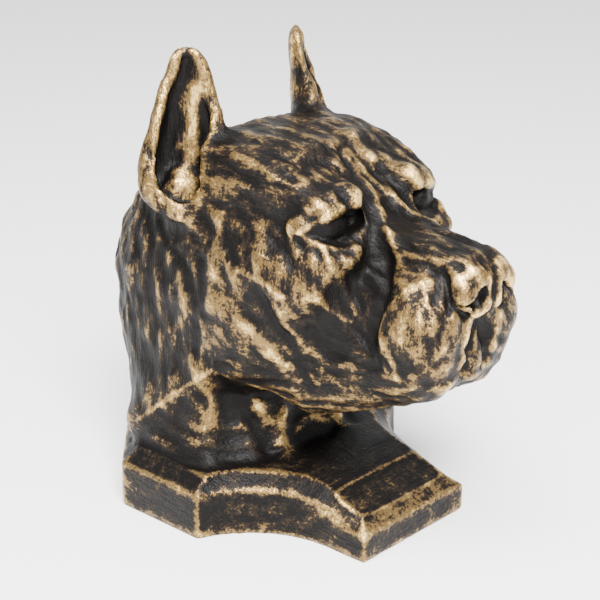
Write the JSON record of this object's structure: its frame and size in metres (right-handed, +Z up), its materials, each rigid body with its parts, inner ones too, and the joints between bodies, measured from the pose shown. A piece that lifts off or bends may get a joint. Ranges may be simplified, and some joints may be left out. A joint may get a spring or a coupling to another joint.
{
  "type": "dog head bust",
  "caption": "Bust of a broad-headed guard dog with cropped upright ears, cast in one piece with a faceted plinth whose front runs out as a sloped tongue.",
  "frame": {"origin": "middle of the plinth's underside, on the surface that it stands on", "axes": "+Z up, the dog looks along -Y, its left side is +X"},
  "size_m": [0.1184, 0.1716, 0.183],
  "materials": {
    "dark_patina": "satin charcoal-brown, dry-brushed with gold on the raised carving"
  },
  "bodies": {
    "root": {"dog_bust": "dark_patina"}
  },
  "joints": []
}
